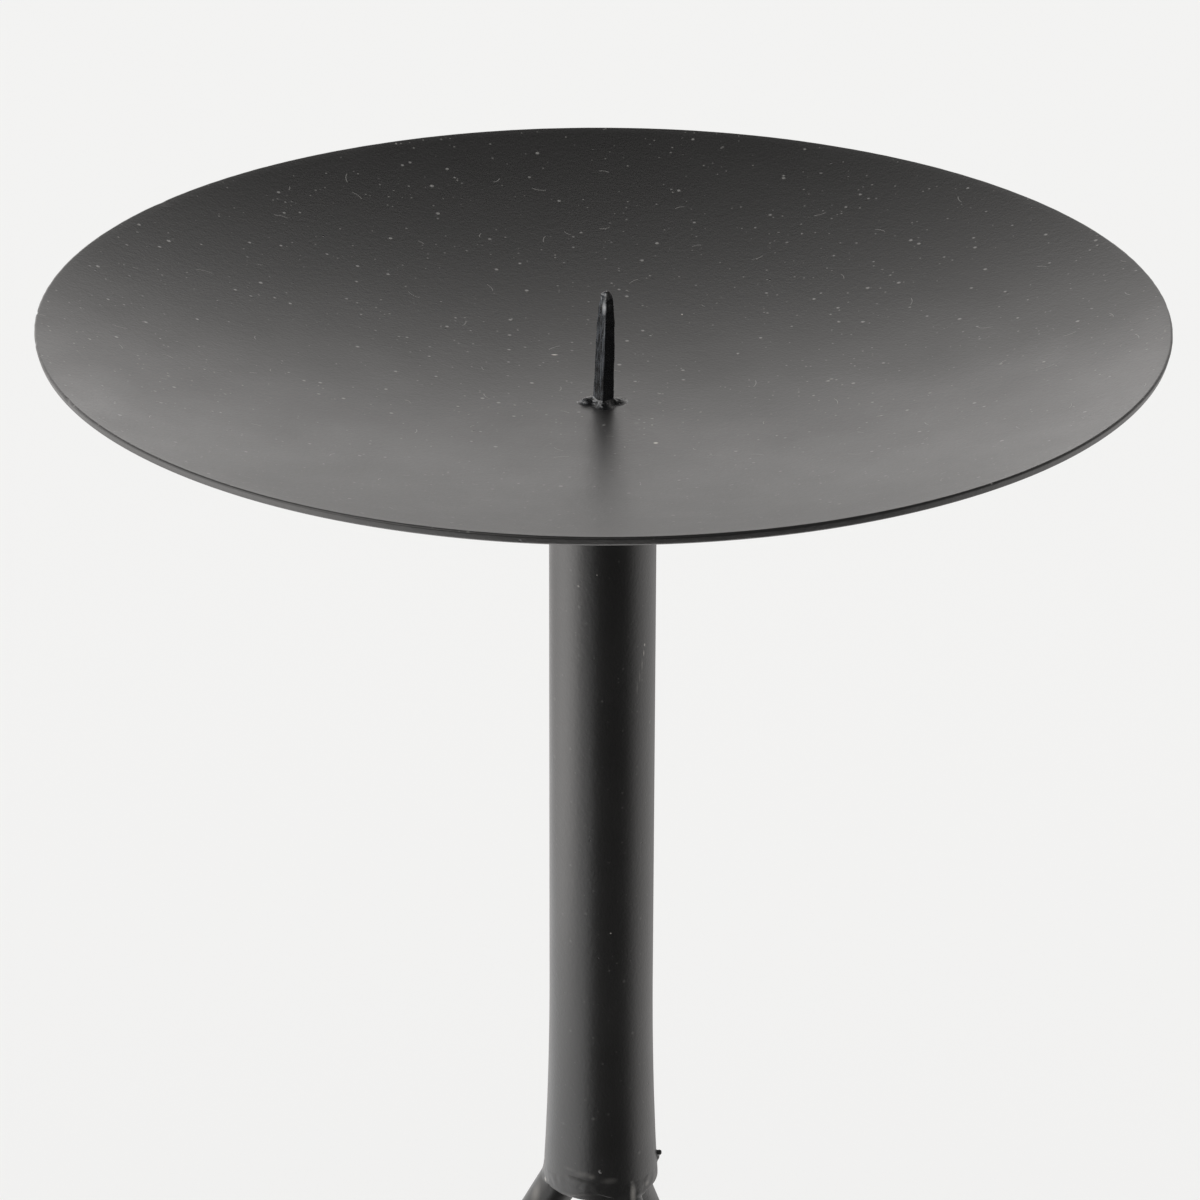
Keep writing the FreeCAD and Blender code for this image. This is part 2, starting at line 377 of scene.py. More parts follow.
def rod_distance(x, y, z, azimuth):
    """The distance of points from a rod's surface: upright, round the bend, then straight."""
    across, aside = turned(x, y, -math.radians(azimuth))
    tangent = BEND_RADIUS * math.tan(splay / 2)
    centre_x = BUNDLE_PITCH_RADIUS + BEND_RADIUS
    centre_z = bend_z + tangent
    upright = across - BUNDLE_PITCH_RADIUS
    slanted = (across - BUNDLE_PITCH_RADIUS) * math.cos(splay) + (z - bend_z) * math.sin(splay)
    bent = BEND_RADIUS - np.hypot(across - centre_x, z - centre_z)
    angle = np.arctan2(centre_z - z, centre_x - across)
    off = np.where(angle < 0, upright, np.where(angle > splay, slanted, bent))
    off = np.where(z > centre_z, upright, off)
    return np.hypot(off, aside) - ROD_RADIUS


def arch(angle):
    """How far the mouth's edge is ground away over the gap between the two nearest legs."""
    return ARCH_HEIGHT * azimuth_bell(angle, ARCH_AZIMUTH, ARCH_WIDTH)


def mouth_line(angle):
    """The height of the mouth's edge round the stem, which rises where a leg passes through."""
    heights = mouth_z + np.linspace(0, BEND_ABOVE_MOUTH, MOUTH_STEPS)
    edge = mouth_z + arch(angle)
    for z in heights:
        radius = stem_outline(z)
        for azimuth in leg_azimuths.values():
            inside = rod_distance(radius * np.cos(angle), radius * np.sin(angle), z, azimuth) < 0
            edge = np.where(inside, np.maximum(edge, z), edge)
    return edge


def make_stem(finish):
    around = turned_angle(STEM_COLUMNS)[None, :]
    edge = mouth_line(around)
    top = pan_centre_z - math.sqrt(pan_outer_sphere**2 - STEM_RADIUS**2)
    climb = (np.linspace(0, 1, STEM_ROWS) ** STEM_ROW_POWER)[::-1, None]
    outer_z = edge + MOUTH_LIP_RADIUS + (top - edge - MOUTH_LIP_RADIUS) * climb
    outer = polar(stem_outline(outer_z), around, outer_z)
    dent = waves(outer.reshape(-1, 3), MOUTH_DENT_LENGTH, seed=2.2).reshape(outer_z.shape)
    dent = MOUTH_DENT_HEIGHT * dent * np.exp(-(outer_z - mouth_z) / MOUTH_DENT_REACH)
    outer = polar(stem_outline(outer_z) + dent, around, outer_z)
    lip = np.linspace(0, math.pi, LIP_ROWS)[1:-1, None]
    lip_radius = stem_outline(edge) - STEM_WALL / 2 + STEM_WALL / 2 * np.cos(lip)
    under = polar(lip_radius, around, edge + MOUTH_LIP_RADIUS * (1 - np.sin(lip)))
    inner_top = pan_centre_z - math.sqrt(pan_outer_sphere**2 - (STEM_RADIUS - STEM_WALL) ** 2)
    inner_climb = np.linspace(0, 1, INNER_ROWS)[:, None]
    inner_z = edge + MOUTH_LIP_RADIUS + (inner_top - edge - MOUTH_LIP_RADIUS) * inner_climb
    inner = polar(stem_outline(inner_z) - STEM_WALL, around, inner_z)
    rows = np.concatenate([outer, under, inner])
    faces = [face[::-1] for face in grid_faces(len(rows), STEM_COLUMNS, ring=True)]
    return piece("tube", rows.reshape(-1, 3), faces, "stem", finish)


# Legs


def leg_path():
    """Rows of (radius from the axis, height, lean) down a rod's centre line."""
    tangent = BEND_RADIUS * math.tan(splay / 2)
    rod_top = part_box("leg_front")[1].z
    upright = np.linspace(rod_top - ROD_END_CHAMFER, bend_z + tangent, ROD_TOP_ROWS)
    rows = [(BUNDLE_PITCH_RADIUS, z, 0.0) for z in upright]
    for turn in np.linspace(0, splay, ROD_BEND_ROWS)[1:]:
        across = BUNDLE_PITCH_RADIUS + BEND_RADIUS * (1 - math.cos(turn))
        rows.append((across, bend_z + tangent - BEND_RADIUS * math.sin(turn), turn))
    low = foot_top_z + ROD_RADIUS * math.sin(splay) * ROD_FOOT_SHARE
    for z in np.linspace(rows[-1][1], low, ROD_ROWS)[1:]:
        rows.append((BUNDLE_PITCH_RADIUS + (bend_z - z) * math.tan(splay), z, splay))
    return rows


def make_leg(side, azimuth, finish):
    around = turned_angle(ROD_COLUMNS)
    out, aside = ROD_RADIUS * np.cos(around), ROD_RADIUS * np.sin(around)
    rows = []
    for across, z, lean in leg_path():
        rows.append(np.stack([across + out * math.cos(lean), aside, z + out * math.sin(lean)], axis=-1))
    shrunk = 1 - ROD_END_CHAMFER / ROD_RADIUS
    centre = np.array([BUNDLE_PITCH_RADIUS, 0, rows[0][0][2]])
    rows.insert(0, (rows[0] - centre) * shrunk + centre + [0, 0, ROD_END_CHAMFER])
    last = rows[-1]
    drop = (last[:, 2] - foot_top_z) / math.cos(splay)
    rows.append(last + drop[:, None] * np.array([math.sin(splay), 0, -math.cos(splay)]))
    points = np.array(rows)
    ends = np.array([points[0].mean(axis=0), points[-1].mean(axis=0)])
    count = len(points)
    points = np.vstack([points.reshape(-1, 3), ends])
    points[:, 0], points[:, 1] = turned(points[:, 0], points[:, 1], math.radians(azimuth))
    start = count * ROD_COLUMNS
    faces = [face[::-1] for face in capped_faces(count, ROD_COLUMNS, start, start + 1)]
    return piece("rod_" + side, points, faces, "leg_" + side, finish)


# Feet


def make_disc(name, node, low, high, rings, columns, bulge, finish):
    """A turned disc between two corners of a box, from rings of (share of the radius, height)."""
    centre_x, centre_y = (low.x + high.x) / 2, (low.y + high.y) / 2
    around = turned_angle(columns)
    rows = np.array([polar(radius, around, z) for radius, z in rings])
    points = rows.reshape(-1, 3) + [centre_x, centre_y, 0]
    points = points + bulge(points)
    start = len(points)
    ends = [[centre_x, centre_y, z] for z in (rings[0][1], rings[-1][1])]
    points = np.vstack([points, ends])
    faces = [face[::-1] for face in capped_faces(len(rings), columns, start, start + 1)]
    return piece(name, points, faces, node, finish)


def rounded_rings(radius, low, high, edge_low, edge_high):
    """The rings of a disc with both edges rounded, from the middle of its top to that of its foot."""
    rings = [(radius * share, high) for share in FLAT_RING_SHARES]
    for turn in np.linspace(0, math.pi / 2, HIGH_EDGE_ROWS):
        rings.append((radius - edge_high * (1 - math.sin(turn)), high - edge_high * (1 - math.cos(turn))))
    for turn in np.linspace(0, math.pi / 2, LOW_EDGE_ROWS):
        rings.append((radius - edge_low * (1 - math.cos(turn)), low + edge_low * (1 - math.sin(turn))))
    rings += [(radius * share, low) for share in reversed(FLAT_RING_SHARES)]
    return rings


def make_foot(side, finish):
    low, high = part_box("foot_" + side)
    radius = (high.x - low.x) / 2
    rings = rounded_rings(radius, low.z, high.z, FOOT_EDGE_RADIUS / 2, FOOT_EDGE_RADIUS)
    name, node = "foot_plate_" + side, "foot_" + side
    return make_disc(name, node, low, high, rings, FOOT_COLUMNS, np.zeros_like, finish)


def make_felt_pad(side, finish):
    low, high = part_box("felt_pad_" + side)
    radius = (high.x - low.x) / 2 - FELT_FUZZ_HEIGHT
    edge = (high.z - low.z) / 4
    rings = rounded_rings(radius, low.z + FELT_FUZZ_HEIGHT, high.z, edge, edge / 2)

    def fuzz(points):
        push = FELT_FUZZ_HEIGHT * waves(points, FELT_FUZZ_LENGTH, seed=4.4)
        centre = np.array([(low.x + high.x) / 2, (low.y + high.y) / 2, 0])
        out = points - centre
        out[:, 2] = 0
        out = out / np.linalg.norm(out, axis=1)[:, None]
        return out * push[:, None]

    name, node = "felt_disc_" + side, "felt_pad_" + side
    made = make_disc(name, node, low, high, rings, FELT_COLUMNS, fuzz, finish)
    return made


# Welds, each the zero level of a distance field sampled on a grid


def smooth_union(first, second, blend):
    """The union of two distance fields, with a fillet of about the blend's size between them."""
    overlap = np.clip(blend - np.abs(first - second), 0, None) / blend
    return np.minimum(first, second) - overlap**2 * blend / 4


def level_surface(field, low, step):
    """Vertices and quads where a field passes zero: a vertex in each cell that the surface crosses,
    at the mean of the crossings on the cell's edges."""
    cells = tuple(size - 1 for size in field.shape)
    total = np.zeros(cells + (3,))
    count = np.zeros(cells)
    ends = (slice(None, -1), slice(1, None))
    edges = []
    for axis in range(3):
        lower, upper = [slice(None)] * 3, [slice(None)] * 3
        lower[axis], upper[axis] = ends
        start, stop = field[tuple(lower)], field[tuple(upper)]
        crossed = (start < 0) != (stop < 0)
        where = np.where(crossed, start / np.where(crossed, start - stop, 1), 0)
        place = np.stack(np.indices(start.shape), axis=-1).astype(float)
        place[..., axis] += where
        place *= crossed[..., None]
        second, third = (axis + 1) % 3, (axis + 2) % 3
        for near in ends:
            for far in ends:
                part = [slice(None)] * 3
                part[second], part[third] = near, far
                total += place[tuple(part)]
                count += crossed[tuple(part)]
        edges.append((axis, second, third, crossed, start < 0))
    used = count > 0
    number = np.full(cells, -1)
    number[used] = np.arange(used.sum())
    vertices = np.array(low) + step * total[used] / count[used][:, None]
    faces = []
    for axis, second, third, crossed, outward in edges:
        inner = [slice(None)] * 3
        inner[second] = inner[third] = slice(1, -1)
        found = np.argwhere(crossed[tuple(inner)])
        found[:, second] += 1
        found[:, third] += 1
        corners = []
        for step_second, step_third in ((1, 1), (0, 1), (0, 0), (1, 0)):
            cell = found.copy()
            cell[:, second] -= step_second
            cell[:, third] -= step_third
            corners.append(number[tuple(cell.T)])
        quads = np.stack(corners, axis=1)
        keep = outward[tuple(found.T)]
        faces.append(np.where(keep[:, None], quads, quads[:, ::-1]))
    return vertices, np.concatenate(faces)


def corner_bead(first, second, offset, radius):
    """A round bead that lies in the corner between two surfaces, from the distances to them."""
    return np.hypot(first - offset, second - offset) - radius


def rippled_bead(x, y, first, second, offset, radius, count):
    """A bead in a corner with a count of scales, which are crescents, round the upright axis."""
    turns = np.arctan2(y, x) / (2 * np.pi) * count
    section = np.arctan2(second - offset, first - offset)
    phase = (turns + RIPPLE_BOW * np.cos(section * 2)) % 1
    return corner_bead(first, second, offset, radius) - RIPPLE_HEIGHT * (1 - (2 * phase - 1) ** 2)


def make_weld(
    name, node, finish, low, high, step, blend, bead, carrier,
    rough=WELD_ROUGH, rough_length=WELD_ROUGH_LENGTH, reach=WELD_REACH,
):
    """The skin of a weld: its bead, run into what carries it, and kept near the bead."""
    axes = [np.arange(a, b, step) for a, b in zip(low, high)]
    x, y, z = np.meshgrid(*axes, indexing="ij")
    metal = bead(x, y, z)
    field = smooth_union(metal, carrier(x, y, z) + WELD_TOE, blend)
    field = np.maximum(field, metal - reach)
    vertices, faces = level_surface(field, low, step)
    made = piece(name, vertices, faces, node, finish)
    shape = bmesh.new()
    shape.from_mesh(made.data)
    every_axis = {"use_axis_x": True, "use_axis_y": True, "use_axis_z": True}
    for _ in range(WELD_SMOOTHINGS):
        bmesh.ops.smooth_vert(shape, verts=shape.verts, factor=0.5, **every_axis)
    shape.normal_update()
    co = np.array([v.co for v in shape.verts])
    near = np.clip(1 - (bead(*co.T) - reach / 8) / (reach / 4), 0, 1)
    push = rough * near * waves(co, rough_length, seed=6.6)
    for vertex, amount in zip(shape.verts, push):
        vertex.co += vertex.normal * amount
    shape.to_mesh(made.data)
    shape.free()
    made.data.update()
    return made


def pan_height(x, y, z):
    """How far points are above the pan's floor, measured square to it."""
    return pan_inner_sphere - np.sqrt(x**2 + y**2 + (z - pan_centre_z) ** 2)


def blob(x, y, z, centre, sizes):
    """A distance field of about an ellipsoid."""
    shares = [(value - middle) / size for value, middle, size in zip((x, y, z), centre, sizes)]
    return (np.sqrt(sum(share**2 for share in shares)) - 1) * min(sizes)


# The spike's weld, with lobes of (centre, half sizes)
PRICKET_WELD_STEP = 0.00006
PRICKET_WELD_REACH = 0.0005
PRICKET_WELD_BLEND = 0.0007
PRICKET_WELD_RADIUS = 0.00028
PRICKET_WELD_SPAN = 0.0036
PRICKET_WELD_LOW = 0.0006
PRICKET_WELD_TOP = 0.0022
PRICKET_LOBES = (
    ((-0.0019, 0.00015, 0.00025), (0.0008, 0.0007, 0.00042)),
    ((-0.0012, 0.0006, 0.00035), (0.0006, 0.0005, 0.0004)),
    ((0.0016, 0.0005, 0.00008), (0.0007, 0.0007, 0.00034)),
    ((0.0001, -0.0011, 0.0001), (0.0005, 0.0005, 0.0003)),
)
PRICKET_WELD_ROUGH = 0.00005
PRICKET_WELD_ROUGH_LENGTH = 0.00036


def make_pricket_weld(finish):
    def spike(x, y, z):
        x, y = turned(x, y, -math.radians(PRICKET_TURN))
        across, aside = np.abs(x) - PRICKET_SIDE / 2, np.abs(y) - PRICKET_SIDE / 2
        outside = np.hypot(np.clip(across, 0, None), np.clip(aside, 0, None))
        return outside + np.minimum(np.maximum(across, aside), 0)

    def bead(x, y, z):
        above = pan_height(x, y, z)
        ring = corner_bead(spike(x, y, z), above, PRICKET_WELD_RADIUS / 3, PRICKET_WELD_RADIUS)
        for centre, sizes in PRICKET_LOBES:
            ring = smooth_union(ring, blob(x, y, above, centre, sizes), PRICKET_WELD_BLEND / 2)
        return ring

    def carrier(x, y, z):
        above = pan_height(x, y, z)
        sheet = np.maximum(above, -above - PAN_THICKNESS / 2)
        return np.minimum(sheet, np.maximum(spike(x, y, z), -above - PAN_THICKNESS / 2))

    span = PRICKET_WELD_SPAN
    low = (-span, -span, pan_floor_z - PRICKET_WELD_LOW)
    high = (span, span, pan_floor_z + PRICKET_WELD_TOP)
    return make_weld(
        "spike_weld", "pricket_weld", finish, low, high, PRICKET_WELD_STEP, PRICKET_WELD_BLEND, bead,
        carrier, PRICKET_WELD_ROUGH, PRICKET_WELD_ROUGH_LENGTH, PRICKET_WELD_REACH,
    )


# The ring weld under the pan
STEM_WELD_STEP = 0.00016
STEM_WELD_OFFSET = 0.00045
STEM_WELD_RADIUS = 0.00085
STEM_WELD_BLEND = 0.0009
STEM_WELD_RIPPLES = 26
STEM_WELD_MARGIN = WELD_MARGIN * 1.4


def make_stem_weld(finish):
    def under(x, y, z):
        return -pan_height(x, y, z) - PAN_THICKNESS

    def bead(x, y, z):
        out = np.hypot(x, y) - STEM_RADIUS
        return rippled_bead(
            x, y, out, under(x, y, z), STEM_WELD_OFFSET, STEM_WELD_RADIUS, STEM_WELD_RIPPLES
        )

    def carrier(x, y, z):
        wall = np.abs(np.hypot(x, y) - STEM_RADIUS + STEM_WALL / 2) - STEM_WALL / 2
        wall = np.maximum(wall, -under(x, y, z) - PAN_THICKNESS / 2)
        sheet = np.abs(under(x, y, z) + PAN_THICKNESS / 4) - PAN_THICKNESS / 4
        return np.minimum(wall, sheet)

    reach = STEM_RADIUS + STEM_WELD_MARGIN
    low = (-reach, -reach, pan_underside_z - STEM_WELD_MARGIN)
    high = (reach, reach, pan_underside_z + WELD_MARGIN)
    return make_weld(
        "tube_weld", "stem_weld", finish, low, high, STEM_WELD_STEP, STEM_WELD_BLEND, bead, carrier
    )


# The weld at the mouth: a band round the stem's edge, a collar round the rods, and spatter of
# (azimuth, distance from the axis, height over the mouth) and half sizes
LEG_WELD_STEP = 0.00013
LEG_WELD_BLEND = 0.0004
LEG_CROTCH_BLEND = 0.0005
BAND_TOP = 0.0024
BAND_RISE = 0.0010
BAND_RISE_AZIMUTH = -117.0
BAND_RISE_WIDTH = 24.0
BAND_PROUD = -0.00012
BAND_RIDGE = 0.00018
BAND_HALF_THICKNESS = 0.0005
COLLAR_OFFSET = 0.0002
COLLAR_RADIUS = 0.00025
COLLAR_LEAN = 0.8
WELD_HEADROOM = WELD_MARGIN * 1.6
SPATTER = (
    ((3.0, 0.0075, 0.0024), (0.00040, 0.00040, 0.0006)),
    ((1.0, 0.0078, 0.0031), (0.00036, 0.00036, 0.0004)),
    ((-90.0, 0.00742, 0.0046), (0.00016, 0.00016, 0.00016)),
    ((22.0, 0.0064, -0.0016), (0.0013, 0.0013, 0.0018)),
)


def make_leg_weld(finish):
    def rods(x, y, z):
        return np.minimum.reduce([rod_distance(x, y, z, azimuth) for azimuth in leg_azimuths.values()])

    def wall(x, y, z):
        radius = stem_outline(np.maximum(z, mouth_z))
        return np.abs(np.hypot(x, y) - radius + STEM_WALL / 2) - STEM_WALL / 2

    def bead(x, y, z):
        radius = stem_outline(np.maximum(z, mouth_z))
        around = np.arctan2(y, x)
        rise = azimuth_bell(around, BAND_RISE_AZIMUTH, BAND_RISE_WIDTH)
        out = np.hypot(x, y) - (radius + BAND_PROUD + BAND_RIDGE * rise - BAND_HALF_THICKNESS)
        foot = arch(around)
        half_height = (BAND_TOP + BAND_RISE * rise - foot) / 2
        along = np.abs(z - mouth_z - foot - half_height) - half_height + BAND_HALF_THICKNESS
        band = np.hypot(out, np.clip(along, 0, None)) - BAND_HALF_THICKNESS
        collar = corner_bead(rods(x, y, z), mouth_z - z, COLLAR_OFFSET, COLLAR_RADIUS)
        near_axis = np.hypot(x, y) - radius - BAND_PROUD
        metal = smooth_union(band, np.maximum(collar, near_axis * COLLAR_LEAN), LEG_CROTCH_BLEND)
        for (azimuth, far, up), sizes in SPATTER:
            centre = (*turned(far, 0, math.radians(azimuth)), mouth_z + up)
            metal = smooth_union(metal, blob(x, y, z, centre, sizes), BAND_HALF_THICKNESS / 2)
        return metal

    def carrier(x, y, z):
        tube = np.maximum(wall(x, y, z), mouth_z - z)
        return smooth_union(tube, rods(x, y, z), LEG_CROTCH_BLEND)

    reach = mouth_radius + WELD_MARGIN
    low = (-reach, -reach, mouth_z - WELD_MARGIN * 2)
    high = (reach, reach, mouth_z + BAND_TOP + WELD_HEADROOM)
    return make_weld(
        "mouth_weld", "leg_weld", finish, low, high, LEG_WELD_STEP, LEG_WELD_BLEND, bead, carrier
    )


# The welds on the feet
FOOT_WELD_STEP = 0.00014
FOOT_WELD_OFFSET = 0.0004
FOOT_WELD_RADIUS = 0.0008
FOOT_WELD_BLEND = 0.0008
FOOT_WELD_RIPPLES = 13


def make_foot_weld(side, azimuth, finish):
    centre_x, centre_y = turned(foot_circle_radius, 0, math.radians(azimuth))

    def rod(x, y, z):
        return rod_distance(x, y, z, azimuth)

    def bead(x, y, z):
        return rippled_bead(
            x - centre_x, y - centre_y, rod(x, y, z), z - foot_top_z,
            FOOT_WELD_OFFSET, FOOT_WELD_RADIUS, FOOT_WELD_RIPPLES,
        )

    def carrier(x, y, z):
        plate = np.abs(z - foot_top_z + FOOT_EDGE_RADIUS) - FOOT_EDGE_RADIUS
        return np.minimum(np.maximum(rod(x, y, z), foot_top_z - z - FOOT_EDGE_RADIUS), plate)

    reach = ROD_RADIUS + WELD_MARGIN
    low = (centre_x - reach, centre_y - reach, foot_top_z - 2 * FOOT_EDGE_RADIUS)
    high = (centre_x + reach, centre_y + reach, foot_top_z + WELD_HEADROOM)
    return make_weld(
        "plate_weld_" + side, "foot_weld_" + side, finish, low, high, FOOT_WELD_STEP, FOOT_WELD_BLEND,
        bead, carrier, WELD_ROUGH / 2,
    )


# Materials, whose lengths are in millimetres

MILLIMETRE = 0.001
LEAST_SPECK_SHARE = 0.4
SPECK_SOFTNESS_SHARE = 0.35
FIBRE_END_SOFTNESS = 0.05
PATCH_EDGE = 0.6


def feed(tree, socket, value):
    """Link a value to a socket when it is an output, and set it otherwise."""
    if isinstance(value, bpy.types.NodeSocket):
        tree.links.new(value, socket)
    elif isinstance(value, tuple) and socket.type == "RGBA":
        socket.default_value = (*value, 1)
    else:
        socket.default_value = value


def math_node(tree, operation, *values):
    node = tree.nodes.new("ShaderNodeMath")
    node.operation = operation
    for socket, value in zip(node.inputs, values):
        feed(tree, socket, value)
    return node.outputs[0]


def times(tree, first, second):
    return math_node(tree, "MULTIPLY", first, second)


def split_colour(tree, colour):
    node = tree.nodes.new("ShaderNodeSeparateColor")
    tree.links.new(colour, node.inputs[0])
    return node.outputs


def mix_colour(tree, share, first, second):
    node = tree.nodes.new("ShaderNodeMix")
    node.data_type = "RGBA"
    feed(tree, node.inputs[0], share)
    feed(tree, node.inputs[6], first)
    feed(tree, node.inputs[7], second)
    return node.outputs[2]


def new_material(name, colour, roughness, specular=0.5):
    material = bpy.data.materials.new(name)
    material.use_nodes = True
    shader = material.node_tree.nodes["Principled BSDF"]
    shader.inputs["Base Color"].default_value = (*colour, 1)
    shader.inputs["Roughness"].default_value = roughness
    shader.inputs["Specular IOR Level"].default_value = specular
    return material


def vector_math(tree, operation, *values):
    node = tree.nodes.new("ShaderNodeVectorMath")
    node.operation = operation
    for socket, value in zip(node.inputs, values):
        feed(tree, socket, value)
    return node.outputs["Value" if operation in ("LENGTH", "DISTANCE", "DOT_PRODUCT") else "Vector"]


def scaled(tree, vector, factor):
    node = tree.nodes.new("ShaderNodeVectorMath")
    node.operation = "SCALE"
    feed(tree, node.inputs[0], vector)
    feed(tree, node.inputs["Scale"], factor)
    return node.outputs[0]


def millimetres(tree):
    """The object's own coordinates in millimetres."""
    return scaled(tree, tree.nodes.new("ShaderNodeTexCoord").outputs["Object"], 1 / MILLIMETRE)


def grain(tree, place, length, detail=2.0):
    """Noise between 0 and 1 with bumps of a length in millimetres."""
    node = tree.nodes.new("ShaderNodeTexNoise")
    feed(tree, node.inputs["Vector"], place)
    node.inputs["Scale"].default_value = 1 / length
    node.inputs["Detail"].default_value = detail
    return node.outputs["Fac"]


def cells(tree, place, size, dimensions="3D"):
    node = tree.nodes.new("ShaderNodeTexVoronoi")
    node.voronoi_dimensions = dimensions
    feed(tree, node.inputs["Vector"], place)
    node.inputs["Scale"].default_value = 1 / size
    return node


def step_down(tree, value, edge, softness):
    """1 where a value is under an edge and 0 over it, with a soft border."""
    node = tree.nodes.new("ShaderNodeMapRange")
    feed(tree, node.inputs["Value"], value)
    feed(tree, node.inputs["From Min"], math_node(tree, "SUBTRACT", edge, softness))
    feed(tree, node.inputs["From Max"], math_node(tree, "ADD", edge, softness))
    node.inputs["To Min"].default_value = 1
    node.inputs["To Max"].default_value = 0
    return node.outputs["Result"]


def specks(tree, place, size, share, radius):
    """Dots of up to a radius in a share of the cells that the surface cuts through."""
    cell = cells(tree, place, size)
    lot = split_colour(tree, cell.outputs["Color"])
    chosen = math_node(tree, "LESS_THAN", lot[0], share)
    least = radius * LEAST_SPECK_SHARE
    reach = math_node(tree, "MULTIPLY_ADD", lot[1], radius - least, least)
    distance = times(tree, cell.outputs["Distance"], size)
    return times(tree, chosen, step_down(tree, distance, reach, radius * SPECK_SOFTNESS_SHARE))


def fibres(tree, place, size, share, width, shortest, longest):
    """Short curved hairs that lie flat, at most one to a cell of the plan, on what faces up."""
    cell = cells(tree, place, size, "2D")
    lot = split_colour(tree, cell.outputs["Color"])
    chosen = math_node(tree, "LESS_THAN", lot[0], share)
    turn = times(tree, lot[1], math.tau)
    away = tree.nodes.new("ShaderNodeCombineXYZ")
    tree.links.new(math_node(tree, "COSINE", turn), away.inputs[0])
    tree.links.new(math_node(tree, "SINE", turn), away.inputs[1])
    flat = vector_math(tree, "MULTIPLY", place, (1.0, 1.0, 0.0))
    local = vector_math(tree, "SUBTRACT", flat, cell.outputs["Position"])
    bend = math_node(tree, "MULTIPLY_ADD", lot[2], longest, shortest)
    ring = vector_math(tree, "DISTANCE", local, scaled(tree, away.outputs[0], bend))
    off_line = math_node(tree, "ABSOLUTE", math_node(tree, "SUBTRACT", ring, bend))
    line = step_down(tree, off_line, width / 2, width / 4)
    length = math_node(tree, "MULTIPLY_ADD", lot[2], longest - shortest, shortest)
    far = vector_math(tree, "LENGTH", local)
    near = step_down(tree, far, times(tree, length, 0.5), FIBRE_END_SOFTNESS)
    return times(tree, chosen, times(tree, line, near))


def patches(tree, place, marks):
    """The strongest of some soft ellipsoids of (centre, half sizes, strength)."""
    total = 0.0
    for centre, sizes, strength in marks:
        off = vector_math(tree, "DIVIDE", vector_math(tree, "SUBTRACT", place, centre), sizes)
        inside = step_down(tree, vector_math(tree, "LENGTH", off), PATCH_EDGE, 1 - PATCH_EDGE)
        total = math_node(tree, "MAXIMUM", total, times(tree, inside, strength))
    return total


def facing_up(tree):
    """1 on what lies about level and 0 on what stands."""
    split = tree.nodes.new("ShaderNodeSeparateXYZ")
    tree.links.new(tree.nodes.new("ShaderNodeNewGeometry").outputs["Normal"], split.inputs[0])
    return math_node(tree, "GREATER_THAN", split.outputs[2], 0.5)


def bump(tree, height):
    node = tree.nodes.new("ShaderNodeBump")
    node.inputs["Distance"].default_value = MILLIMETRE
    feed(tree, node.inputs["Height"], height)
    return node.outputs["Normal"]


def sum_of(tree, *terms):
    """The sum of (value, factor) pairs."""
    total = 0.0
    for value, factor in terms:
        total = math_node(tree, "MULTIPLY_ADD", value, factor, total)
    return total


def varied(tree, middle, *terms):
    """A middle value, varied by pairs of a noise and how far it spreads the value."""
    least = middle - sum(spread for _, spread in terms) / 2
    return math_node(tree, "ADD", sum_of(tree, *terms), least)


def dress(material, colour, height, roughness=None):
    """Feed a material's shader, with a height in millimetres as its bump."""
    tree = material.node_tree
    shader = tree.nodes["Principled BSDF"]
    tree.links.new(colour, shader.inputs["Base Color"])
    tree.links.new(bump(tree, height), shader.inputs["Normal"])
    if roughness:
        tree.links.new(roughness, shader.inputs["Roughness"])
    return material


COAT_COLOUR = (0.0095, 0.0091, 0.0087)
COAT_ROUGHNESS = 0.39
COAT_SPECULAR = 0.7
PEEL_LENGTH = 1.0
PEEL_HEIGHT = 0.014
FINE_PEEL_LENGTH = 0.36
FINE_PEEL_HEIGHT = 0.019
SMUDGE_LENGTH = 9.0
SMUDGE_SHARES = (0.8, 1.2)
SMUDGE_ROUGHNESS = 0.08
FINE_ROUGHNESS = 0.05

# Specks, dust and pits: the spacing, the share of the places that hold one, and the radius. What
# stands holds fewer than what lies level.
SPECKS = (1.0, 0.06, 0.25)
SPECK_COLOUR = (0.165, 0.16, 0.152)
SPECK_HEIGHT = 0.03
DUST = (0.6, 0.09, 0.14)
DUST_SHIFT = (31.0, 17.0, 5.0)
DUST_COLOUR = (0.13, 0.126, 0.118)
PITS = (1.1, 0.03, 0.15)
PIT_SHIFT = (7.0, 71.0, 9.0)
PIT_DEPTH = 0.03
STANDING_SHARE = 0.2

# Lint: the spacing, the share, the width, and the least and greatest length
LINT = (9.0, 0.5, 0.08, 0.7, 2.0)
LINT_COLOUR = (0.16, 0.155, 0.145)
LINT_HEIGHT = 0.02
